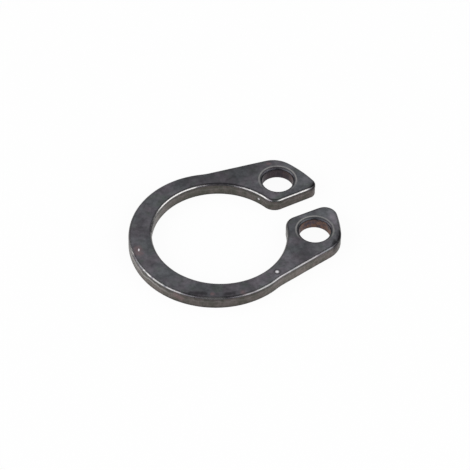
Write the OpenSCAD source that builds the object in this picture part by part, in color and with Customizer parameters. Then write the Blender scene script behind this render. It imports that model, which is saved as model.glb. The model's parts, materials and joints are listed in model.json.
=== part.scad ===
// External circlip for a shaft: a flat, open ring of spring steel that snaps into a groove.
// The ring is widest opposite its gap, and each end swells into a lug with a hole for pliers.
// Frame: the origin is on the bore's axis at the underside, +X runs out through the gap, +Z is up.
// Left and right are as seen from the bore's axis looking out through the gap.

/* [Ring] */
// Free inside diameter of the bore
bore_d = 7.4; // [6.5:0.1:12]
// Thickness of the plate
thickness = 0.8; // [0.4:0.05:1.6]
// Width of the ring opposite the gap
back_w = 1.33; // [0.9:0.01:2.2]
// Width that the ring's rim narrows to on the gap's side, under the lugs
front_w = 0.74; // [0.5:0.01:1.2]
// Radius of the tumbled edge round the outline and both holes
edge_r = 0.13; // [0.05:0.01:0.22]

/* [Lugs] */
// Height of the lugs from the bore to their tips
lug_h = 3; // [2.5:0.05:4]
// Angle by which the outer flanks close in towards the tips
flank_lean = 10; // [0:1:16]
// Depth to which each flank's line cuts inside the ring's rim
waist = 0.09; // [0.02:0.01:0.2]
// Radius of the hollow where the rim runs into the flank
waist_r = 3.5; // [0.5:0.1:6]
// Radius of the corner between flank and tip
shoulder_r = 1.5; // [0.5:0.05:1.9]
// Radius of the left lug's corner between tip and gap
left_nose_r = 0.45; // [0.35:0.01:0.9]
// Radius of the right lug's corner between tip and gap
right_nose_r = 0.72; // [0.35:0.01:0.9]
// Radius of the corner between gap and bore
heel_r = 0.75; // [0.35:0.05:1.2]

/* [Gap] */
// Distance from the centre line to the left lug's gap face, at the bore
left_gap = 0.66; // [0.3:0.01:1.1]
// Distance from the centre line to the right lug's gap face, at the bore
right_gap = 0.72; // [0.3:0.01:1.1]
// Angle by which each gap face opens towards the tips
gap_lean = 0.7; // [0:0.1:5]

/* [Plier holes] */
// Diameter of both holes
hole_d = 1.72; // [0.8:0.02:2.1]
// Distance by which the centres lie outside the middle of the lugs' height
hole_out = 0.05; // [-0.2:0.01:0.2]
// Distance from a lug's gap face to the centre of its hole
hole_side = 1.45; // [1.2:0.05:1.7]

/* [Hidden] */
$fn = 96;

axis = [0, 0];
bore_r = bore_d/2;
hole_r = hole_d/2;
tip_r = bore_r + lug_h;
hole_centre_r = bore_r + lug_h/2 + hole_out;

// The rim is a circle set back from the bore's axis, which makes the ring widest at the back.
rim_r = bore_r + (back_w + front_w)/2;
rim_c = [(front_w - back_w)/2, 0];

// Directions that the left lug's flank and gap face look towards.
flank_a = 90 - flank_lean;
gap_a = gap_lean - 90;

// The border is a strip with a rounded edge. The flat core's own edge lies hidden inside it,
// and its chords stray from the true arcs by less than the border has to spare.
border_w = 1.5*edge_r;
core_inset = 1.25*edge_r;
core_stray = 0.2*edge_r;
// Straight stretches shorter than this are two arcs that meet.
tiny = 0.001;
// The pieces are joined at this scale, where a rounding error in the place of one is too small
// to leave a gap between two that meet face to face, and the whole is then brought back to size.
fine = 0.001;

// Each lug is [distance to its gap face, nose radius].
LEFT = [left_gap, left_nose_r];
RIGHT = [right_gap, right_nose_r];

function dir(a) = [cos(a), sin(a)];
function heading(v) = atan2(v[1], v[0]);

// The point at distance d from the axis along direction a, and at distance q from point o.
// There are two: side is 1 for the one to the left of a, and -1 for the one to the right.
function meet(a, d, o, q, side) =
    let (n = dir(a), t = dir(a + 90), b = d*n - o, along = b*t)
    d*n + (side*sqrt(along*along - b*b + q*q) - along)*t;

// Distances of the flank's and the gap face's lines from the axis, square to each.
flank_d = rim_c*dir(flank_a) + rim_r - waist;
function gap_d(lug) = [bore_r, lug[0]]*dir(gap_a);

// Centres of the arcs that join the flanks, faces and circles, and of the hole.
waist_c = meet(flank_a, flank_d + waist_r, rim_c, rim_r + waist_r, -1);
shoulder_c = meet(flank_a, flank_d - shoulder_r, axis, tip_r - shoulder_r, -1);
function nose_c(lug) = meet(gap_a, gap_d(lug) - lug[1], axis, tip_r - lug[1], 1);
function heel_c(lug) = meet(gap_a, gap_d(lug) - heel_r, axis, bore_r + heel_r, 1);
function hole_c(lug) = meet(gap_a, gap_d(lug) - hole_side, axis, hole_centre_r, 1);

// An arc is [centre, radius, first angle, last angle]. The outline is run with the steel on its
// left, so an arc whose angle grows bulges out, and one whose angle falls is hollow.
function lug_arcs(lug) =
    let (heel = heel_c(lug), nose = nose_c(lug))
    [
        [heel, heel_r, heading(heel) - 180, gap_a],
        [nose, lug[1], gap_a, heading(nose)],
        [axis, tip_r, heading(nose), heading(shoulder_c)],
        [shoulder_c, shoulder_r, heading(shoulder_c), flank_a],
        [waist_c, waist_r, flank_a + 180, heading(waist_c - rim_c) + 180],
    ];

// A point, and a run of arcs, on the other side of the centre line. The run is still made with
// the steel on its left.
function flipped(p) = [p[0], -p[1]];
function mirrored(arcs) =
    [for (i = [len(arcs) - 1:-1:0]) let (a = arcs[i]) [flipped(a[0]), a[1], -a[3], -a[2]]];

rim_arc = [rim_c, rim_r, heading(waist_c - rim_c), 360 - heading(waist_c - rim_c)];
bore_arc = [axis, bore_r, 360 - heading(heel_c(RIGHT)), heading(heel_c(LEFT))];
OUTLINE = concat(lug_arcs(LEFT), [rim_arc], mirrored(lug_arcs(RIGHT)), [bore_arc]);
HOLES = [hole_c(LEFT), flipped(hole_c(RIGHT))];

// A point on an arc, a share f of the way along it, set in from the edge.
function arc_point(arc, f, inset) =
    let (bulges = arc[3] > arc[2], r = bulges ? arc[1] - inset : arc[1] + inset)
    arc[0] + r*dir(arc[2] + f*(arc[3] - arc[2]));

// The whole outline, set in from the edge, without the doubles where two arcs meet.
function inset_outline(inset) =
    let (
        all = [
            for (arc = OUTLINE)
            let (n = ceil(abs(arc[3] - arc[2])/(2*acos(1 - core_stray/arc[1]))))
            for (i = [0:n]) arc_point(arc, i/n, inset)
        ],
        n = len(all)
    )
    [for (i = [0:n - 1]) if (norm(all[i] - all[(i + 1)%n]) > tiny) all[i]];

// Section of the border: the edge is at x = 0, and the steel lies towards +x.
module border_section() {
    translate([edge_r, 0]) square([border_w - edge_r, thickness]);
    translate([0, edge_r]) square([border_w, thickness - 2*edge_r]);
    for (y = [edge_r, thickness - edge_r]) translate([edge_r, y]) circle(edge_r);
}

// Border along one arc of the outline.
module arc_border(arc) {
    turn = arc[3] - arc[2];
    translate(arc[0]) rotate(min(arc[2], arc[3]))
        rotate_extrude(angle = abs(turn)) translate([arc[1], 0]) {
            if (turn > 0) mirror([1, 0]) border_section();
            else border_section();
        }
}

// Border along the straight stretch from point p to point q.
module straight_border(p, q) {
    translate(p) rotate([90, 0, heading(q - p) + 90]) linear_extrude(norm(q - p)) border_section();
}

// The flat plate inside the borders.
module core() {
    difference() {
        linear_extrude(thickness) polygon(inset_outline(core_inset));
        for (c = HOLES) translate([c[0], c[1], -1])
            cylinder(h = thickness + 2, r = hole_r + core_inset);
    }
}

module retaining_ring() {
    color("#48464a") scale(1/fine) union() {
        scale(fine) core();
        for (c = HOLES) scale(fine) translate(c) rotate_extrude() translate([hole_r, 0]) border_section();
        for (i = [0:len(OUTLINE) - 1]) {
            scale(fine) arc_border(OUTLINE[i]);
            p = arc_point(OUTLINE[i], 1, 0);
            q = arc_point(OUTLINE[(i + 1)%len(OUTLINE)], 0, 0);
            if (norm(q - p) > tiny) scale(fine) straight_border(p, q);
        }
    }
}

retaining_ring();
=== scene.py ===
"""External circlip: an open, eccentric ring of blackened spring steel that lies on a pale floor.

The ring is drawn as its outline, an unbroken run of arcs and straight stretches, and a Geometry
Nodes tree makes the plate from it: a rounded, tumbled section swept along the outline and round
both plier holes, with a flat face above and below. The tree works in millimetres and hands over
metres. The frame is the part's own: the bore's axis is Z, and +X runs out through the gap.
"""

import json
from math import atan2, cos, degrees, radians, sin, sqrt, tan

import bpy
from mathutils import Matrix, Vector


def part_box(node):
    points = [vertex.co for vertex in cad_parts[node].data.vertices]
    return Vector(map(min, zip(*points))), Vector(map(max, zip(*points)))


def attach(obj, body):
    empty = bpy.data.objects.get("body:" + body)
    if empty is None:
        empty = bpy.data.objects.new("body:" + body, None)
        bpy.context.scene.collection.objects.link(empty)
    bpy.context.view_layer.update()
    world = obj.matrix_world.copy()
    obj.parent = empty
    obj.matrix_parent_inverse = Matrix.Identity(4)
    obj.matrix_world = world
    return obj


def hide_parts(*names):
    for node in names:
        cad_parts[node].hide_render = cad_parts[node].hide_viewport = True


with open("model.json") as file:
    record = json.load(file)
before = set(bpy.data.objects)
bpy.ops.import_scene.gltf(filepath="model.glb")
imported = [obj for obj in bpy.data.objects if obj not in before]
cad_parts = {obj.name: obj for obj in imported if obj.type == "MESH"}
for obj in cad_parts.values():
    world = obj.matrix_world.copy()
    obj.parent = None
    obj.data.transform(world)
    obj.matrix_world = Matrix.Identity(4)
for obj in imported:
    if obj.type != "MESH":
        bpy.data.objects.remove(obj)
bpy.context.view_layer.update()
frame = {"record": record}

MM = 0.001  # metres in a millimetre

# ---------------------------------------------------------------------------------------------
# Sizes of the ring, in millimetres and degrees
# ---------------------------------------------------------------------------------------------

MOUNTS = {mount["name"]: mount for mount in frame["record"]["mounts"]}


def mount_radius(name):
    return MOUNTS[name]["dims"]["r_mm"]


def mount_centre(name):
    return Vector(MOUNTS[name]["pos_m"][:2]) / MM


low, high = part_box("retaining_ring")
THICKNESS = (high.z - low.z) / MM
BORE_R = mount_radius("shaft_bore")
TIP_R = BORE_R + 3.0  # radius of the circle that the lugs' tips lie on
BACK_W = 1.33  # width of the ring opposite the gap
FRONT_W = 0.74  # width that the rim narrows to on the gap's side
RIM_R = BORE_R + (BACK_W + FRONT_W) / 2
RIM_C = Vector(((FRONT_W - BACK_W) / 2, 0))
EDGE_R = 0.14  # radius of the outline's tumbled upper edge
EDGE_REACH = 1.8 * EDGE_R  # how far in from the outline the faces start to fall
FOOT_R = 0.06  # radius of the outline's edge on the underside
HOLE_EDGE_R = 0.14  # radius of the holes' upper edges
HOLE_EDGE_REACH = 1.9 * HOLE_EDGE_R
HOLE_FOOT_R = 0.13  # radius of the holes' edges on the underside

FLANK_ANGLE = 80.0  # direction that the left lug's outer flank looks towards
GAP_ANGLE = -89.3  # direction that its gap face looks towards
WAIST = 0.09  # depth to which the flank's line cuts inside the rim
WAIST_R = 3.5  # radius of the hollow where the rim runs into the flank
SHOULDER_R = 1.5  # radius of the corner between flank and tip
HEEL_R = 0.75  # radius of the corner between gap and bore
# Distance from the centre line to each lug's gap face, and the corner between gap and tip.
LEFT_LUG = {"gap": 0.66, "nose_r": 0.45}
RIGHT_LUG = {"gap": 0.72, "nose_r": 0.72}

# ---------------------------------------------------------------------------------------------
# Outline
# ---------------------------------------------------------------------------------------------

AXIS = Vector((0, 0))
SAME_POINT = 1e-6  # points nearer than this are one
CURVE_FINENESS = 96  # chords to a stretch of curve


def toward(angle):
    return Vector((cos(radians(angle)), sin(radians(angle))))


def heading(vector):
    return degrees(atan2(vector.y, vector.x))


def meet(angle, distance, centre, radius, side):
    """The point at a distance from the axis along a direction, and at a radius from a centre."""
    foot = distance * toward(angle)
    along = toward(angle + 90)
    offset = foot - centre
    shift = along.dot(offset)
    return foot + (side * sqrt(shift**2 - offset.length_squared + radius**2) - shift) * along


def lug_arcs(gap, nose_r):
    """Arcs of the left lug from heel to waist, as (centre, radius, first angle, last angle)."""
    gap_d = Vector((BORE_R, gap)).dot(toward(GAP_ANGLE))
    flank_d = RIM_C.dot(toward(FLANK_ANGLE)) + RIM_R - WAIST
    heel = meet(GAP_ANGLE, gap_d - HEEL_R, AXIS, BORE_R + HEEL_R, 1)
    nose = meet(GAP_ANGLE, gap_d - nose_r, AXIS, TIP_R - nose_r, 1)
    shoulder = meet(FLANK_ANGLE, flank_d - SHOULDER_R, AXIS, TIP_R - SHOULDER_R, -1)
    waist = meet(FLANK_ANGLE, flank_d + WAIST_R, RIM_C, RIM_R + WAIST_R, -1)
    return [
        (heel, HEEL_R, heading(heel) - 180, GAP_ANGLE),
        (nose, nose_r, GAP_ANGLE, heading(nose)),
        (AXIS, TIP_R, heading(nose), heading(shoulder)),
        (shoulder, SHOULDER_R, heading(shoulder), FLANK_ANGLE),
        (waist, WAIST_R, FLANK_ANGLE + 180, heading(waist - RIM_C) + 180),
    ]


def mirrored(arcs):
    """The arcs on the other side of the centre line, still run with the steel on their left."""
    return [(Vector((c.x, -c.y)), r, -last, -first) for c, r, first, last in reversed(arcs)]


def ring_outline():
    left = lug_arcs(**LEFT_LUG)
    right = mirrored(lug_arcs(**RIGHT_LUG))
    rim_start = left[-1][3] - 180
    heel_left = heading(left[0][0])
    heel_right = heading(right[-1][0])
    rim = (RIM_C, RIM_R, rim_start, 360 - rim_start)
    bore = (AXIS, BORE_R, 360 + heel_right, heel_left)
    return left + [rim] + right + [bore]


def hole_outline(name):
    return [(mount_centre(name), mount_radius(name), 360, 0)]


def bezier_points(arcs):
    """The arcs as Bezier points, at most a quarter turn apart, as (handle, point, handle).

    A handle is None where a straight stretch starts or ends.
    """
    points = []
    for centre, radius, first, last in arcs:
        pieces = max(1, int(abs(last - first) // 90) + 1)
        step = (last - first) / pieces
        reach = radius * 4 / 3 * tan(radians(step) / 4)
        for i in range(pieces + 1):
            angle = first + i * step
            point = centre + radius * toward(angle)
            pull = reach * toward(angle + 90)
            before = point - pull if i else None
            after = point + pull if i < pieces else None
            if points and (points[-1][1] - point).length < SAME_POINT:
                points[-1] = (points[-1][0], point, after)
            else:
                points.append((before, point, after))
    if (points[0][1] - points[-1][1]).length < SAME_POINT:
        points[0] = (points[-1][0], points[0][1], points[0][2])
        points.pop()
    return points


def outline_curve(name, outlines):
    """A flat curve object with one closed Bezier spline for each outline."""
    curve = bpy.data.curves.new(name, "CURVE")
    curve.dimensions = "3D"
    for arcs in outlines:
        points = bezier_points(arcs)
        spline = curve.splines.new("BEZIER")
        spline.bezier_points.add(len(points) - 1)
        spline.use_cyclic_u = True
        spline.resolution_u = CURVE_FINENESS
        for target, (before, point, after), following, previous in zip(
            spline.bezier_points, points, points[1:] + points[:1], points[-1:] + points[:-1]
        ):
            target.handle_left_type = target.handle_right_type = "FREE"
            target.co = point.to_3d()
            target.handle_left = (before or point.lerp(previous[1], 1 / 3)).to_3d()
            target.handle_right = (after or point.lerp(following[1], 1 / 3)).to_3d()
    obj = bpy.data.objects.new(name, curve)
    bpy.context.scene.collection.objects.link(obj)
    return obj


# ---------------------------------------------------------------------------------------------
# Small helpers for node trees
# ---------------------------------------------------------------------------------------------


def node(tree, kind, inputs=None, **settings):
    """A node of the given kind; inputs maps socket names or numbers to values or sockets."""
    made = tree.nodes.new(kind)
    for key, value in settings.items():
        setattr(made, key, value)
    for key, value in (inputs or {}).items():
        socket = made.inputs[key]
        if isinstance(value, bpy.types.NodeSocket):
            tree.links.new(value, socket)
        else:
            socket.default_value = value
    return made


def math(tree, operation, *values, clamp=False):
    inputs = dict(enumerate(values))
    return node(tree, "ShaderNodeMath", inputs, operation=operation, use_clamp=clamp).outputs[0]


def mixed(tree, share, first, second):
    """The value that lies a share of the way from the first to the second."""
    inputs = {0: share, 2: first, 3: second}
    return node(tree, "ShaderNodeMix", inputs, data_type="FLOAT").outputs[0]


def vector_math(tree, operation, *values):
    made = node(tree, "ShaderNodeVectorMath", dict(enumerate(values)), operation=operation)
    single = operation in ("DOT_PRODUCT", "DISTANCE", "LENGTH")
    return made.outputs["Value" if single else "Vector"]


def scaled(tree, vector, factor):
    made = node(tree, "ShaderNodeVectorMath", {0: vector, "Scale": factor}, operation="SCALE")
    return made.outputs["Vector"]


def ramp(tree, value, start, end, to_start=0.0, to_end=1.0):
    """Value eased from start..end to to_start..to_end."""
    inputs = {"Value": value, 1: start, 2: end, 3: to_start, 4: to_end}
    made = node(tree, "ShaderNodeMapRange", inputs, interpolation_type="SMOOTHSTEP")
    return made.outputs[0]


def between(tree, value, start, full, fade, end):
    """1 where value lies from full to fade, eased to 0 at start and at end."""
    return math(tree, "MULTIPLY", ramp(tree, value, start, full), ramp(tree, value, fade, end, 1.0, 0.0))


def mix_colour(tree, share, first, second, blend="MIX"):
    made = tree.nodes.new("ShaderNodeMix")
    made.data_type = "RGBA"
    made.blend_type = blend
    for socket, value in ((0, share), (6, first), (7, second)):
        if isinstance(value, bpy.types.NodeSocket):
            tree.links.new(value, made.inputs[socket])
        else:
            made.inputs[socket].default_value = value
    return made.outputs[2]


def noise(tree, position, scale, detail=2.0, roughness=0.5, stretch=(1, 1, 1), shift=(0, 0, 0)):
    """Noise from 0 to 1 at a position in millimetres; scale is in features per millimetre."""
    place = vector_math(tree, "ADD", vector_math(tree, "MULTIPLY", position, stretch), shift)
    inputs = {"Vector": place, "Scale": scale, "Detail": detail, "Roughness": roughness}
    return node(tree, "ShaderNodeTexNoise", inputs).outputs[0]


# ---------------------------------------------------------------------------------------------
# Geometry Nodes: a plate with tumbled edges from flat outlines
# ---------------------------------------------------------------------------------------------

FILLET_POINTS = 16  # points on each rounded corner, before they are spaced evenly
MERGE_DISTANCE = 0.002  # millimetres within which the faces' edges join the border's


def border_section(tree, thickness, edge_r, foot_r, reach, crown, step):
    """Section of the plate's border: face, rounded edges and wall, as an open curve.

    The wall stands at x = 0 and the steel reaches towards -x. The upper edge is rounded by
    edge_r, and the foot, which is sharper, by foot_r. Both faces fall by crown towards the wall,
    because tumbling wears more than the corner itself.
    """
    inward = math(tree, "MULTIPLY", reach, -1.0)
    top = math(tree, "MULTIPLY", thickness, -1.0)
    rectangle = node(tree, "GeometryNodeCurvePrimitiveQuadrilateral", mode="POINTS")
    for i, (x, y) in enumerate(((inward, top), (0.0, top), (0.0, 0.0), (inward, 0.0))):
        corner = node(tree, "ShaderNodeCombineXYZ", {"X": x, "Y": y})
        tree.links.new(corner.outputs[0], rectangle.inputs[f"Point {i + 1}"])
    opened = node(
        tree, "GeometryNodeSetSplineCyclic", {0: rectangle.outputs[0], "Cyclic": False}
    )
    corner_number = node(tree, "GeometryNodeInputIndex").outputs[0]
    at_foot = math(tree, "GREATER_THAN", corner_number, 1.5)
    radius = math(tree, "ADD", edge_r, math(
        tree, "MULTIPLY", at_foot, math(tree, "SUBTRACT", foot_r, edge_r)
    ))
    rounded = node(
        tree, "GeometryNodeFilletCurve",
        {0: opened.outputs[0], "Count": FILLET_POINTS, "Radius": radius}, mode="POLY",
    )
    even = node(
        tree, "GeometryNodeResampleCurve", {0: rounded.outputs[0], "Length": step}, mode="LENGTH"
    )
    place = node(
        tree, "ShaderNodeSeparateXYZ", {0: node(tree, "GeometryNodeInputPosition").outputs[0]}
    )
    nearness = math(tree, "ADD", 1.0, math(tree, "DIVIDE", place.outputs["X"], reach), clamp=True)
    fall = math(tree, "MULTIPLY", math(tree, "POWER", nearness, 2.0), crown)
    middle = math(tree, "MULTIPLY", top, 0.5)
    squash = math(tree, "SUBTRACT", 1.0, math(tree, "DIVIDE", fall, thickness))
    from_middle = math(tree, "SUBTRACT", place.outputs["Y"], middle)
    y = math(tree, "ADD", middle, math(tree, "MULTIPLY", from_middle, squash))
    moved = node(tree, "ShaderNodeCombineXYZ", {"X": place.outputs["X"], "Y": y})
    worn = node(tree, "GeometryNodeSetPosition", {0: even.outputs[0], "Position": moved.outputs[0]})
    return worn.outputs[0]


def swept_border(tree, outline, outer_section, hole_section, step):
    """The sections swept along the first outline and along the others, which are the holes.

    Attribute "hole" is 0 on the first and 1 on the others.
    """
    path = node(tree, "GeometryNodeResampleCurve", {0: outline, "Length": step}, mode="LENGTH")
    path = node(tree, "GeometryNodeSetCurveNormal", {0: path.outputs[0]}, mode="Z_UP")
    which = math(tree, "MINIMUM", node(tree, "GeometryNodeInputIndex").outputs[0], 1.0)
    path = node(
        tree, "GeometryNodeStoreNamedAttribute", {0: path.outputs[0], "Name": "hole", "Value": which},
        data_type="FLOAT", domain="CURVE",
    )
    parts = node(
        tree, "GeometryNodeSeparateGeometry", {0: path.outputs[0], "Selection": which},
        domain="CURVE",
    )
    border = tree.nodes.new("GeometryNodeJoinGeometry")
    for curve, section in ((parts.outputs[1], outer_section), (parts.outputs[0], hole_section)):
        swept = node(tree, "GeometryNodeCurveToMesh", {0: curve, 1: section})
        tree.links.new(swept.outputs[0], border.inputs[0])
    return border.outputs[0]


def filled_faces(tree, border, height, thickness):
    """The flat faces inside the border's open rims, above and below."""
    neighbours = node(tree, "GeometryNodeInputMeshEdgeNeighbors").outputs[0]
    open_edge = node(
        tree, "FunctionNodeCompare", {2: neighbours, 3: 1}, data_type="INT", operation="EQUAL"
    ).outputs[0]
    middle = math(tree, "MULTIPLY", thickness, 0.5)
    faces = []
    for side in ("GREATER_THAN", "LESS_THAN"):
        beyond = node(
            tree, "FunctionNodeCompare", {0: height, 1: middle},
            data_type="FLOAT", operation=side,
        ).outputs[0]
        chosen = node(tree, "FunctionNodeBooleanMath", {0: open_edge, 1: beyond}, operation="AND")
        rim = node(tree, "GeometryNodeMeshToCurve", {0: border, 1: chosen.outputs[0]})
        filled = node(tree, "GeometryNodeFillCurve", {0: rim.outputs[0]}, mode="TRIANGLES")
        faces.append(filled.outputs[0])
    raised = node(tree, "ShaderNodeCombineXYZ", {"Z": thickness}).outputs[0]
    above = node(tree, "GeometryNodeTransform", {0: faces[0], "Translation": raised}).outputs[0]
    below = node(tree, "GeometryNodeFlipFaces", {0: faces[1]}).outputs[0]
    return above, below


def plate_tree():
    """Tree that turns closed outlines, run with the steel on their left, into a solid plate."""
    tree = bpy.data.node_groups.new("tumbled plate", "GeometryNodeTree")
    tree.is_modifier = True
    new_socket = tree.interface.new_socket
    new_socket("Outline", in_out="INPUT", socket_type="NodeSocketGeometry")
    for name in (
        "Thickness", "Edge Radius", "Edge Reach", "Foot Radius", "Hole Edge Radius",
        "Hole Edge Reach", "Hole Foot Radius", "Crown", "Step", "Edge Wander", "Shear Depth",
        "Ledge Depth",
    ):
        new_socket(name, in_out="INPUT", socket_type="NodeSocketFloat")
    new_socket("Seed", in_out="INPUT", socket_type="NodeSocketInt")
    for name in ("Steel", "Hole Steel"):
        new_socket(name, in_out="INPUT", socket_type="NodeSocketMaterial")
    new_socket("Plate", in_out="OUTPUT", socket_type="NodeSocketGeometry")
    given = tree.nodes.new("NodeGroupInput").outputs
    thickness, step = given["Thickness"], given["Step"]

    section_step = math(tree, "MULTIPLY", step, 0.6)
    sections = [
        border_section(
            tree, thickness, given[f"{place}Edge Radius"], given[f"{place}Foot Radius"],
            given[f"{place}Edge Reach"], given["Crown"], section_step,
        )
        for place in ("", "Hole ")
    ]
    border = swept_border(tree, given["Outline"], *sections, step)
    position = node(tree, "GeometryNodeInputPosition").outputs[0]
    height = node(tree, "ShaderNodeSeparateXYZ", {0: position}).outputs["Z"]
    joined = tree.nodes.new("GeometryNodeJoinGeometry")
    for part in (border, *filled_faces(tree, border, height, thickness)):
        tree.links.new(part, joined.inputs[0])
    plate = node(
        tree, "GeometryNodeMergeByDistance", {0: joined.outputs[0], "Distance": MERGE_DISTANCE}
    ).outputs[0]

    # How far a point is down from the upper face, and how far from the nearer face, in radii of the
    # rounded edges. In a hole the rubbed line, a painted highlight, runs along the face, and the brink,
    # a painted shade, is below it.
    hole = node(tree, "GeometryNodeInputNamedAttribute", {"Name": "hole"}).outputs[0]
    edge_r = mixed(tree, hole, given["Edge Radius"], given["Hole Edge Radius"])
    foot_r = mixed(tree, hole, given["Foot Radius"], given["Hole Foot Radius"])
    down = math(tree, "DIVIDE", math(tree, "SUBTRACT", thickness, height), edge_r)
    rise = math(tree, "MINIMUM", down, math(tree, "DIVIDE", height, foot_r))
    wall = ramp(tree, rise, 0.6, 1.0)
    rounding = ramp(tree, rise, 0.0, 0.12)
    edge = between(tree, rise, 0.02, 0.12, 0.5, 0.75)
    edge = mixed(tree, hole, edge, between(tree, down, 0.0005, 0.0025, 0.006, 0.016))
    band = between(tree, down, 0.65, 0.9, 1.0, 1.5)
    brink = between(tree, down, 0.0, 0.02, 0.05, 0.14)
    brink = mixed(tree, hole, brink, between(tree, down, 0.03, 0.35, 0.8, 1.2))

    # Relief, all of it inwards: the tumbled edge wanders a little, the torn lower part of the wall
    # stands back from the burnished upper part, and shearing has left upright lines on both.
    seed = vector_math(tree, "MULTIPLY", given["Seed"], (13.7, 7.3, 3.1))
    placed_at = vector_math(tree, "ADD", position, seed)
    wander = math(tree, "MULTIPLY", noise(tree, placed_at, 1.1, detail=1.0), given["Edge Wander"])
    wander = math(tree, "MULTIPLY", wander, rounding)
    ledge_noise = noise(tree, placed_at, 1.7, detail=3.0, roughness=0.6, stretch=(1, 1, 0))
    ledge = math(tree, "MULTIPLY", thickness, ramp(tree, ledge_noise, 0.3, 0.7, 0.52, 0.72))
    over_ledge = math(tree, "SUBTRACT", height, ledge)
    off_ledge = math(tree, "ABSOLUTE", over_ledge)
    lip = math(tree, "MULTIPLY", ramp(tree, off_ledge, 0.0, 0.1, 1.0, 0.0), wall)
    torn = math(tree, "MULTIPLY", ramp(tree, over_ledge, -0.03, 0.03, 1.0, 0.0), wall)
    set_back = math(tree, "MULTIPLY", torn, given["Ledge Depth"])
    lines = noise(tree, placed_at, 7.0, detail=2.0, roughness=0.6, stretch=(1, 1, 0.12))
    lines = math(tree, "MULTIPLY", lines, given["Shear Depth"])
    lines = math(tree, "MULTIPLY", lines, wall)
    depth = math(tree, "ADD", math(tree, "ADD", wander, set_back), lines)
    normal = node(tree, "GeometryNodeInputNormal").outputs[0]
    inwards = math(tree, "MULTIPLY", depth, -1.0)
    push = scaled(tree, normal, inwards)

    fields = {"wall": wall, "edge": edge, "band": band, "brink": brink, "torn": torn, "lip": lip}
    for name, value in fields.items():
        stored = {0: plate, "Name": name, "Value": value}
        plate = node(tree, "GeometryNodeStoreNamedAttribute", stored).outputs[0]
    plate = node(tree, "GeometryNodeSetPosition", {0: plate, "Offset": push})
    plate = node(tree, "GeometryNodeTransform", {0: plate.outputs[0], "Scale": (MM, MM, MM)})
    plate = node(tree, "GeometryNodeSetShadeSmooth", {0: plate.outputs[0]})
    plate = node(tree, "GeometryNodeRealizeInstances", {0: plate.outputs[0]})
    plate = node(
        tree, "GeometryNodeSetMaterial", {0: plate.outputs[0], "Material": given["Steel"]}
    )
    # The wall is read back as it was stored, because the plate is in metres by now.
    on_wall = node(tree, "GeometryNodeInputNamedAttribute", {"Name": "wall"}).outputs[0]
    hole_wall = node(
        tree, "FunctionNodeCompare", {0: math(tree, "MULTIPLY", hole, on_wall), 1: 0.001},
        data_type="FLOAT", operation="GREATER_THAN",
    )
    plate = node(
        tree, "GeometryNodeSetMaterial",
        {0: plate.outputs[0], "Selection": hole_wall.outputs[0], "Material": given["Hole Steel"]},
    )
    result = tree.nodes.new("NodeGroupOutput")
    tree.links.new(plate.outputs[0], result.inputs[0])
    return tree


def made_by_nodes(source, tree, name, **inputs):
    """The plain mesh that a tree makes from a source object, which is then removed."""
    modifier = source.modifiers.new("plate", "NODES")
    modifier.node_group = tree
    sockets = {item.name: item.identifier for item in tree.interface.items_tree}
    for key, value in inputs.items():
        modifier[sockets[key]] = value
    evaluated = source.evaluated_get(bpy.context.evaluated_depsgraph_get())
    mesh = bpy.data.meshes.new_from_object(evaluated)
    mesh.name = name
    bpy.data.objects.remove(source)
    obj = bpy.data.objects.new(name, mesh)
    bpy.context.scene.collection.objects.link(obj)
    return obj


# ---------------------------------------------------------------------------------------------
# Finishes that several materials share
# ---------------------------------------------------------------------------------------------


def shader_group(name, inputs, outputs):
    """A new shader node group, with its group input's sockets and its output node's sockets."""
    tree = bpy.data.node_groups.new(name, "ShaderNodeTree")
    for in_out, sockets in (("INPUT", inputs), ("OUTPUT", outputs)):
        for socket, kind in sockets.items():
            tree.interface.new_socket(socket, in_out=in_out, socket_type=f"NodeSocket{kind}")
    return tree, tree.nodes.new("NodeGroupInput").outputs, tree.nodes.new("NodeGroupOutput").inputs


def placed(tree, group, inputs):
    """The outputs of a group placed in a material with its own values."""
    made = tree.nodes.new("ShaderNodeGroup")
    made.node_tree = group
    for key, value in inputs.items():
        if isinstance(value, bpy.types.NodeSocket):
            tree.links.new(value, made.inputs[key])
        else:
            made.inputs[key].default_value = value
    return made.outputs


def black_oxide_group():
    """Black oxide: its colour drifts between bluish, greenish and purplish, in soft clouds."""
    tree, given, result = shader_group(
        "black oxide",
        {"Position": "Vector", "Cool": "Color", "Green": "Color", "Warm": "Color", "Drift": "Float"},
        {"Color": "Color", "Grain": "Float"},
    )
    position = given["Position"]
    clouds = noise(tree, position, 0.8, detail=4.0, roughness=0.6, shift=(3.1, 8.2, 0.4))
    tints = noise(tree, position, 1.5, detail=4.0, roughness=0.6, shift=(9.4, 2.7, 5.5))
    colour = mix_colour(tree, ramp(tree, clouds, 0.38, 0.62), given["Cool"], given["Warm"])
    colour = mix_colour(tree, ramp(tree, tints, 0.5, 0.68), colour, given["Green"])
    patches = noise(tree, position, 1.3, detail=4.0, roughness=0.65, shift=(7.7, 1.9, 2.5))
    grain = noise(tree, position, 11.0, detail=3.0, roughness=0.7, shift=(0.3, 4.4, 6.1))
    blots = noise(tree, position, 3.6, detail=2.0, roughness=0.6, shift=(5.9, 3.3, 1.4))
    shade = ramp(tree, patches, 0.3, 0.7, -0.5, 0.5)
    shade = math(tree, "ADD", shade, math(tree, "SUBTRACT", grain, 0.5))
    shade = math(tree, "ADD", shade, ramp(tree, blots, 0.3, 0.7, -0.3, 0.3))
    shade = math(tree, "ADD", 1.0, math(tree, "MULTIPLY", shade, given["Drift"]))
    tree.links.new(scaled(tree, colour, shade), result["Color"])
    tree.links.new(grain, result["Grain"])
    return tree


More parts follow.
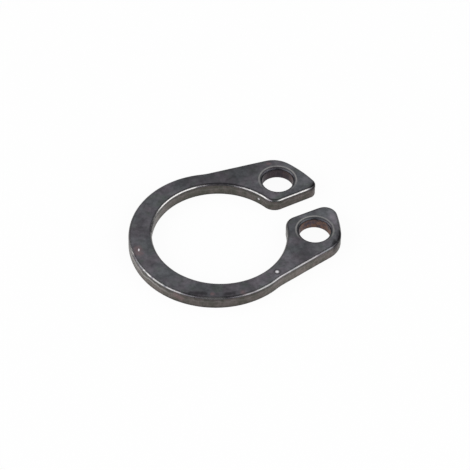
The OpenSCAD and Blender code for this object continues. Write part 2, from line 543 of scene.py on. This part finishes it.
def shear_group():
    """Upright lines that shearing leaves on a wall, as a value from 0 to 1."""
    tree, given, result = shader_group("shear lines", {"Position": "Vector"}, {"Lines": "Float"})
    position = given["Position"]
    coarse = noise(tree, position, 5.0, detail=2.0, roughness=0.6, stretch=(1, 1, 0.2), shift=(5, 2, 0))
    fine = noise(tree, position, 16.0, detail=2.0, stretch=(1, 1, 0.15), shift=(1, 9, 3))
    both = math(tree, "ADD", math(tree, "MULTIPLY", coarse, 0.5), math(tree, "MULTIPLY", fine, 0.5))
    tree.links.new(ramp(tree, both, 0.3, 0.7), result["Lines"])
    return tree


def mark_group():
    """A mark with a ragged outline: 1 on the line between its ends, and 0 past its reach."""
    tree, given, result = shader_group(
        "mark",
        {"Position": "Vector", "From": "Vector", "To": "Vector", "Reach": "Float", "Ragged": "Float"},
        {"Mask": "Float"},
    )
    length = vector_math(tree, "SUBTRACT", given["To"], given["From"])
    offset = vector_math(tree, "SUBTRACT", given["Position"], given["From"])
    square = math(tree, "MAXIMUM", vector_math(tree, "DOT_PRODUCT", length, length), 1e-6)
    along = vector_math(tree, "DOT_PRODUCT", offset, length)
    along = math(tree, "DIVIDE", along, square, clamp=True)
    distance = vector_math(tree, "DISTANCE", offset, scaled(tree, length, along))
    share = math(tree, "DIVIDE", distance, given["Reach"])
    fray = noise(tree, given["Position"], 5.0, detail=3.0, roughness=0.7)
    fray = math(tree, "MULTIPLY", math(tree, "SUBTRACT", fray, 0.5), given["Ragged"])
    share = math(tree, "ADD", share, fray)
    tree.links.new(ramp(tree, share, 0.2, 1.0, 1.0, 0.0), result["Mask"])
    return tree


BLACK_OXIDE = black_oxide_group()
SHEAR = shear_group()
MARK = mark_group()


def marks(tree, position, places, ragged=1.2):
    """The masks of several marks, given as (one end, other end, reach), as one."""
    whole = 0.0
    for start, end, reach in places:
        inputs = {"Position": position, "From": start, "To": end, "Reach": reach, "Ragged": ragged}
        whole = math(tree, "MAXIMUM", whole, placed(tree, MARK, inputs)["Mask"])
    return whole


# ---------------------------------------------------------------------------------------------
# Marks on the ring
# ---------------------------------------------------------------------------------------------


def spot(x, y, z, reach):
    """A round mark."""
    return ((x, y, z), (x, y, z), reach)


# Each mark has two ends and a reach, in millimetres.
# Darker and lighter patches on the face.
DARKER_FACE_PATCHES = [
    ((0.9, 4.2, 0.8), (3.3, 3.9, 0.8), 1.9),
    ((-3.0, -3.6, 0.8), (-0.9, -4.4, 0.8), 1.4),
    ((3.3, -3.5, 0.8), (3.7, -2.6, 0.8), 1.0),
    ((3.6, -1.9, 0.8), (4.1, -1.1, 0.8), 0.7),
]
LIGHTER_FACE_PATCHES = [
    ((6.24, -1.50, 0.8), (6.16, -2.15, 0.8), 0.42),
]
# Stretches of edge kept dark as painted shade, where the lamps leave the edge unlit, with two short
# breaks in the rubbed line: on the rim, in the bore, on the lugs and round the holes.
UNLIT_EDGE_SHADE = [
    ((-4.98, 0.60, 0.7), (-5.02, -0.40, 0.7), 0.24),
    ((-5.00, -0.70, 0.7), (-5.00, -0.75, 0.7), 0.20),
    spot(-4.81, -1.23, 0.75, 0.16),
    spot(-4.48, -2.11, 0.75, 0.16),
    ((-3.72, -3.22, 0.7), (-3.42, -3.50, 0.7), 0.62),
    ((-1.69, -4.49, 0.7), (-1.31, -4.59, 0.7), 0.62),
    ((0.60, 3.66, 0.7), (0.90, 3.60, 0.7), 0.17),
    ((1.30, 3.48, 0.7), (2.40, 2.80, 0.7), 0.75),
    ((3.50, 0.94, 0.7), (3.88, 0.70, 0.7), 0.34),
    ((6.15, 0.62, 0.7), (6.68, 1.10, 0.7), 0.40),
    ((4.20, -3.98, 0.7), (5.40, -3.60, 0.7), 0.32),
]
UNLIT_RIM_SHADE = [
    spot(4.33, 1.29, 0.8, 1.9),
    spot(4.30, -3.02, 0.8, 1.9),
]
RUST_SPOTS = [
    ((-4.55, 0.98, 0.8), (-4.62, 0.68, 0.8), 0.34),
    ((-4.20, -2.80, 0.5), (-4.00, -3.00, 0.4), 0.30),
    ((-2.49, -3.80, 0.8), (-2.45, -3.84, 0.8), 0.16),
    ((-0.95, -4.46, 0.72), (-0.80, -4.50, 0.6), 0.24),
    ((4.90, 3.44, 0.8), (4.98, 3.40, 0.8), 0.14),
]
# Faint dark strokes on the face by the front edge.
FAINT_PATCHES = [
    ((-3.50, -3.20, 0.78), (-2.80, -3.64, 0.78), 0.20),
    ((-1.80, -4.16, 0.78), (-1.40, -4.30, 0.78), 0.19),
]
# Dark patches: painted shade at the left lug's nose and on the right lug's tip and flank, a darker patch
# on the bore's wall, and a dark ring round a nick.
DARK_PATCHES = [
    ((6.36, 0.72, 0.74), (6.62, 0.92, 0.70), 0.44),
    ((5.95, -3.04, 0.7), (5.60, -3.42, 0.7), 0.32),
    ((5.40, -3.62, 0.7), (5.30, -3.70, 0.66), 0.48),
    ((-3.20, 1.88, 0.66), (-2.85, 2.36, 0.66), 0.24),
    spot(1.43, -3.99, 0.8, 0.28),
]
BRIGHT_NICKS = [
    spot(1.43, -3.99, 0.8, 0.15),
    spot(3.36, 1.63, 0.4, 0.10),
    spot(-2.97, 3.29, 0.7, 0.08),
    ((-4.55, 0.83, 0.8), (-4.49, 0.93, 0.8), 0.06),
]

# ---------------------------------------------------------------------------------------------
# Materials
# ---------------------------------------------------------------------------------------------


def tone(red, green, blue):
    return (red, green, blue, 1.0)


COOL_OXIDE = tone(0.098, 0.102, 0.111)
GREEN_OXIDE = tone(0.092, 0.100, 0.099)
WARM_OXIDE = tone(0.110, 0.101, 0.115)
DARK_MOTTLE = tone(0.90, 0.94, 0.86)
LIGHT_MOTTLE = tone(1.42, 1.32, 1.34)
# Dark tones: painted shade in the band below the rubbed line and on the brink, and the dark patches.
BAND_SHADE_TONE = tone(0.036, 0.034, 0.036)
BRINK_SHADE_TONE = tone(0.030, 0.030, 0.036)
SHADE_AND_PATCH_TONE = tone(0.014, 0.013, 0.015)
BRIGHT_STEEL = tone(0.75, 0.73, 0.76)

# Directions across the ring.
TO_RIGHT = (0.871, -0.491, 0.0)  # to the right of the camera
TO_BACK = (0.49, 0.87, 0.0)  # away from the camera
TO_RIGHT_LUG = (0.45, -0.9, 0.0)
FROM_GAP = (-1.0, 0.05, 0.0)

# What the plate's tree stores on its points.
FIELDS = ("wall", "edge", "band", "brink", "torn", "lip", "hole")


def object_position(tree):
    """Position on the piece, in millimetres."""
    place = tree.nodes.new("ShaderNodeTexCoord").outputs["Object"]
    return scaled(tree, place, 1 / MM)


def attribute(tree, name):
    return node(tree, "ShaderNodeAttribute", attribute_name=name).outputs["Fac"]


def face_colour(tree, position, oxide_colour):
    """Black oxide on the face, with painted light that makes it lighter towards the right lug, and with
    darker and lighter patches.
    """
    # Painted light: the face is lighter towards the right lug, where the light falls more strongly.
    along = vector_math(tree, "DOT_PRODUCT", position, TO_RIGHT_LUG)
    colour = scaled(tree, oxide_colour, ramp(tree, along, -5.0, 7.0, 0.88, 1.05))
    lighter_patches = marks(tree, position, LIGHTER_FACE_PATCHES, ragged=0.5)
    colour = scaled(tree, colour, ramp(tree, lighter_patches, 0.0, 1.0, 1.0, 1.4))
    darker_patches = marks(tree, position, DARKER_FACE_PATCHES, ragged=0.5)
    return scaled(tree, colour, ramp(tree, darker_patches, 0.0, 1.0, 1.04, 0.74))


def wall_colour(tree, position, field, wall_dark, wall_light, rim_light):
    """Sheared steel, lighter where it tore, with painted light and shade: lighter on two opposite sides,
    darker towards the lugs' tips and darker at the foot.
    """
    place = node(tree, "ShaderNodeSeparateXYZ", {0: position}).outputs
    lines = placed(tree, SHEAR, {"Position": position})["Lines"]
    colour = mix_colour(tree, lines, wall_dark, wall_light)
    # Painted light: the walls are lighter on two opposite sides, where the lamps light them.
    body = vector_math(tree, "MINIMUM", position, (3.2, TIP_R, TIP_R))
    across = math(tree, "ABSOLUTE", vector_math(tree, "DOT_PRODUCT", body, TO_RIGHT))
    colour = scaled(tree, colour, ramp(tree, across, 1.6, 4.2, 0.93, 1.38))
    mottle = noise(tree, position, 2.6, detail=3.0, roughness=0.65, shift=(6.3, 1.2, 8.8))
    tint = mix_colour(tree, ramp(tree, mottle, 0.35, 0.65), DARK_MOTTLE, LIGHT_MOTTLE)
    colour = mix_colour(tree, 1.0, colour, tint, blend="MULTIPLY")
    colour = scaled(tree, colour, math(tree, "MULTIPLY_ADD", field["torn"], 0.16, 0.92))
    # Painted shade: the walls are darker towards the lugs' tips.
    colour = scaled(tree, colour, ramp(tree, place["X"], 3.2, 4.2, 1.0, 0.84))
    # Painted shadow: the walls darken at the foot, as in the contact shadow on the floor.
    colour = scaled(tree, colour, ramp(tree, place["Z"], 0.02, 0.2, 0.5, 1.0))
    # The lip of the ledge is a little lighter all round; on the side away from the gap it is a painted
    # highlight, nearly bright.
    wear_and_highlight = ramp(tree, vector_math(tree, "DOT_PRODUCT", position, FROM_GAP), 4.1, 4.8)
    wear_and_highlight = math(tree, "MULTIPLY", wear_and_highlight, ramp(tree, place["Y"], 0.8, 1.8, 1.0, 0.0))
    lip = math(tree, "MULTIPLY", field["lip"], math(tree, "MULTIPLY_ADD", wear_and_highlight, 0.75, 0.10))
    return mix_colour(tree, lip, colour, rim_light)


def with_worn_edges(tree, position, field, colour, rim_light):
    """The colour with its edges rubbed lighter, and with painted shade: edges kept dark where the lamps
    leave them unlit, a dark band below the rubbed line and a dark brink.
    """
    wear = noise(tree, position, 1.4, detail=3.0, roughness=0.6, shift=(2.2, 6.6, 0.9))
    wear = math(tree, "MULTIPLY", ramp(tree, wear, 0.3, 0.55, 0.5, 1.0), field["edge"])
    # Less is rubbed off the outside, and a little less off the holes, than off the bore. Round the holes
    # the rubbed line is a painted highlight.
    radius = vector_math(tree, "LENGTH", vector_math(tree, "MULTIPLY", position, (1, 1, 0)))
    aside = node(tree, "ShaderNodeSeparateXYZ", {0: position}).outputs["Y"]
    aside = ramp(tree, math(tree, "ABSOLUTE", aside), 0.9, 1.6)
    outside = math(tree, "MULTIPLY", ramp(tree, radius, 4.0, 4.3), aside)
    wear_and_highlight = mixed(tree, field["hole"], ramp(tree, outside, 0.0, 1.0, 1.0, 0.44), 0.85)
    wear = math(tree, "MULTIPLY", wear, wear_and_highlight)
    # Painted shade keeps edges dark where the lamps leave them unlit, and keeps the holes' rubbed line,
    # a painted highlight, to their far side.
    unlit_rims = marks(tree, position, UNLIT_RIM_SHADE, ragged=0.6)
    unlit_rims = math(tree, "MULTIPLY", unlit_rims, field["hole"])
    unlit = math(tree, "MAXIMUM", marks(tree, position, UNLIT_EDGE_SHADE, ragged=0.6), unlit_rims)
    unlit = math(tree, "MULTIPLY", unlit, 0.95)
    wear = math(tree, "MULTIPLY", wear, math(tree, "SUBTRACT", 1.0, unlit))
    colour = mix_colour(tree, wear, colour, rim_light)
    # Painted shade: a dark band below the rubbed line, and a dark line on the brink of the face or hole,
    # fainter on the near side.
    band = math(tree, "MULTIPLY", field["band"], math(tree, "MULTIPLY_ADD", unlit, -0.4, 0.4))
    colour = mix_colour(tree, band, colour, BAND_SHADE_TONE)
    shaded = mixed(tree, field["hole"], ramp(tree, outside, 0.0, 1.0, 0.8, 0.3), 0.85)
    brink = math(tree, "MULTIPLY", field["brink"], shaded)
    far = ramp(tree, vector_math(tree, "DOT_PRODUCT", position, TO_BACK), -1.0, 0.5, 0.4, 1.0)
    return mix_colour(tree, math(tree, "MULTIPLY", brink, far), colour, BRINK_SHADE_TONE)


def with_patches(tree, position, colour):
    """The colour with dark patches: painted shade at the left lug's nose and on the right lug's tip,
    faint dark strokes by the front edge, a darker patch on the bore's wall and a dark ring round a nick.
    """
    dark = math(tree, "MULTIPLY", marks(tree, position, DARK_PATCHES, ragged=1.0), 0.92)
    faint = math(tree, "MULTIPLY", marks(tree, position, FAINT_PATCHES, ragged=1.0), 0.6)
    return mix_colour(tree, math(tree, "MAXIMUM", dark, faint), colour, SHADE_AND_PATCH_TONE)


def rust_mask(tree, position, wall, cover):
    """Rust in spots, and as a film on the walls that is thickest on the right."""
    spots = marks(tree, position, RUST_SPOTS)
    film = noise(tree, position, 2.6, detail=4.0, roughness=0.7, shift=(4.1, 0.7, 3.3))
    film = math(tree, "MULTIPLY", ramp(tree, film, 0.37, 0.58), math(tree, "MULTIPLY", wall, cover))
    side = vector_math(tree, "DOT_PRODUCT", position, TO_RIGHT)
    film = math(tree, "MULTIPLY", film, ramp(tree, side, 3.0, 5.2, 0.08, 1.0))
    return math(tree, "MAXIMUM", math(tree, "MULTIPLY", spots, 0.46), film)


def steel_material(name, wall_dark, wall_light, rim_light, rust_cover, rust_tone):
    """Blackened spring steel: black oxide on the faces, thinner on the edges and the walls."""
    material = bpy.data.materials.new(name)
    material.use_nodes = True
    tree = material.node_tree
    shader = tree.nodes["Principled BSDF"].inputs
    position = object_position(tree)
    field = {stored: attribute(tree, stored) for stored in FIELDS}
    oxide = placed(tree, BLACK_OXIDE, {
        "Position": position,
        "Cool": COOL_OXIDE,
        "Green": GREEN_OXIDE,
        "Warm": WARM_OXIDE,
        "Drift": 0.46,
    })

    on_face = face_colour(tree, position, oxide["Color"])
    on_wall = wall_colour(tree, position, field, wall_dark, wall_light, rim_light)
    colour = mix_colour(tree, field["wall"], on_face, on_wall)
    colour = with_worn_edges(tree, position, field, colour, rim_light)
    colour = with_patches(tree, position, colour)
    rust = rust_mask(tree, position, field["wall"], rust_cover)
    colour = mix_colour(tree, rust, colour, rust_tone)
    nicks = marks(tree, position, BRIGHT_NICKS, ragged=0.3)
    colour = mix_colour(tree, nicks, colour, BRIGHT_STEEL)
    tree.links.new(colour, shader["Base Color"])

    metal = math(tree, "SUBTRACT", 1.0, math(tree, "MULTIPLY", rust, 0.6))
    tree.links.new(metal, shader["Metallic"])
    # The rubbed edges are smoother than the faces, and the holes' edges are rougher.
    polish = math(tree, "MULTIPLY", field["edge"], ramp(tree, field["hole"], 0.0, 1.0, -0.14, 0.15))
    uneven = math(tree, "MULTIPLY", math(tree, "SUBTRACT", oxide["Grain"], 0.5), 0.2)
    rough = math(tree, "ADD", math(tree, "ADD", 0.38, polish), uneven)
    rough = math(tree, "ADD", rough, math(tree, "MULTIPLY", rust, 0.2))
    tree.links.new(rough, shader["Roughness"])
    relief = node(tree, "ShaderNodeBump", {"Height": oxide["Grain"], "Distance": 3e-6})
    tree.links.new(relief.outputs[0], shader["Normal"])
    return material


def blackened_steel():
    return steel_material(
        "blackened_spring_steel",
        wall_dark=tone(0.080, 0.074, 0.068), wall_light=tone(0.108, 0.101, 0.094),
        rim_light=tone(0.37, 0.363, 0.356), rust_cover=0.12, rust_tone=tone(0.18, 0.105, 0.110),
    )


def blackened_hole():
    return steel_material(
        "blackened_hole_wall",
        wall_dark=tone(0.046, 0.039, 0.048), wall_light=tone(0.078, 0.066, 0.084),
        rim_light=tone(0.09, 0.085, 0.085), rust_cover=0.85, rust_tone=tone(0.20, 0.105, 0.068),
    )


# ---------------------------------------------------------------------------------------------
# The ring
# ---------------------------------------------------------------------------------------------


def make_ring():
    outlines = [ring_outline(), hole_outline("left_plier_hole"), hole_outline("right_plier_hole")]
    outline = outline_curve("ring_outline", outlines)
    ring = made_by_nodes(
        outline, plate_tree(), "blackened_circlip", **{
            "Thickness": THICKNESS,
            "Edge Radius": EDGE_R,
            "Edge Reach": EDGE_REACH,
            "Foot Radius": FOOT_R,
            "Hole Edge Radius": HOLE_EDGE_R,
            "Hole Edge Reach": HOLE_EDGE_REACH,
            "Hole Foot Radius": HOLE_FOOT_R,
            "Crown": 0.012,
            "Step": 0.045,
            "Edge Wander": 0.010,
            "Shear Depth": 0.002,
            "Ledge Depth": 0.006,
            "Seed": 4,
            "Steel": blackened_steel(),
            "Hole Steel": blackened_hole(),
        },
    )
    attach(ring, "root")
    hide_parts("retaining_ring")
    return ring


# ---------------------------------------------------------------------------------------------
# Floor, lights and camera
# ---------------------------------------------------------------------------------------------

FLOOR_REACH = 0.6  # metres from the origin to each side of the floor
SEEN_GLOW = 0.94  # how much of the floor's look is its own white where the camera sees it
MIRRORED_GLOW = 0.5  # and where the steel mirrors it
WORLD_STRENGTH = 0.35


def make_floor():
    """White paper. Seen or mirrored, it shows mostly its own white, with a faint shadow."""
    size = FLOOR_REACH
    mesh = bpy.data.meshes.new("floor")
    corners = [(x * size, y * size, 0) for x, y in ((-1, -1), (1, -1), (1, 1), (-1, 1))]
    mesh.from_pydata(corners, [], [(0, 1, 2, 3)])
    floor = bpy.data.objects.new("floor", mesh)
    bpy.context.scene.collection.objects.link(floor)
    material = bpy.data.materials.new("white_floor")
    material.use_nodes = True
    tree = material.node_tree
    tree.nodes.clear()
    path = tree.nodes.new("ShaderNodeLightPath").outputs
    mirrored_share = math(tree, "MAXIMUM", path["Is Glossy Ray"], path["Is Transmission Ray"])
    mirrored_share = math(tree, "MULTIPLY", mirrored_share, MIRRORED_GLOW)
    seen_share = math(tree, "MULTIPLY", path["Is Camera Ray"], SEEN_GLOW)
    share = math(tree, "ADD", seen_share, mirrored_share)
    paper = node(tree, "ShaderNodeBsdfDiffuse", {"Color": (0.8, 0.8, 0.8, 1)})
    glow = node(tree, "ShaderNodeEmission", {"Color": (1, 1, 1, 1), "Strength": 1.0})
    shade = node(tree, "ShaderNodeMixShader", {0: share, 1: paper.outputs[0], 2: glow.outputs[0]})
    output = tree.nodes.new("ShaderNodeOutputMaterial")
    tree.links.new(shade.outputs[0], output.inputs["Surface"])
    mesh.materials.append(material)


def make_world():
    world = bpy.data.worlds.new("studio")
    bpy.context.scene.world = world
    world.use_nodes = True
    background = world.node_tree.nodes["Background"].inputs
    background["Color"].default_value = (1, 1, 1, 1)
    background["Strength"].default_value = WORLD_STRENGTH


CAMERA_TURN = 29.433  # how far the camera stands round from -Y towards -X
CAMERA_RISE = 46.679  # degrees above the floor
CAMERA_ROLL = -1.6616
CAMERA_AIM = Vector((0.8772, -0.1888, 0.3870)) * MM
CAMERA_DISTANCE = 0.2219
CAMERA_LENS = 309.26


def camera_axes():
    turn, rise = radians(CAMERA_TURN), radians(CAMERA_RISE)
    forward = Vector((sin(turn) * cos(rise), cos(turn) * cos(rise), -sin(rise)))
    right = Vector((cos(turn), -sin(turn), 0))
    up = right.cross(forward)
    return right, up, forward


def make_camera():
    right, up, forward = camera_axes()
    roll = Matrix.Rotation(radians(CAMERA_ROLL), 3, forward)
    right, up = roll @ right, roll @ up
    camera = bpy.data.objects.new("camera", bpy.data.cameras.new("camera"))
    bpy.context.scene.collection.objects.link(camera)
    camera.data.sensor_width = 36
    camera.data.lens = CAMERA_LENS
    camera.data.clip_start = 0.01
    camera.data.clip_end = 10
    camera.matrix_world = Matrix.Translation(CAMERA_AIM - forward * CAMERA_DISTANCE) @ Matrix(
        (right, up, -forward)
    ).transposed().to_4x4()
    bpy.context.scene.camera = camera


def soft_light(name, turn, rise, distance, width, height, watts):
    """An area light that faces the ring; turn is counted from the camera's side to its right."""
    bearing = radians(CAMERA_TURN - turn)
    climb = radians(rise)
    back = Vector((-sin(bearing) * cos(climb), -cos(bearing) * cos(climb), sin(climb)))
    data = bpy.data.lights.new(name, "AREA")
    data.shape = "RECTANGLE"
    data.size, data.size_y = width, height
    data.energy = watts
    lamp = bpy.data.objects.new(name, data)
    bpy.context.scene.collection.objects.link(lamp)
    lamp.location = back * distance
    lamp.rotation_mode = "QUATERNION"
    lamp.rotation_quaternion = back.to_track_quat("Z", "Y")


def make_studio():
    make_floor()
    make_world()
    soft_light("left softbox", -66, rise=28, distance=0.4, width=0.66, height=0.32, watts=1.9)
    soft_light("right softbox", 64, rise=28, distance=0.4, width=0.60, height=0.32, watts=1.5)
    soft_light("back softbox", 180, rise=47, distance=0.5, width=0.5, height=0.3, watts=0.37)
    make_camera()
    bpy.context.scene.view_settings.view_transform = "Standard"


make_studio()
make_ring()
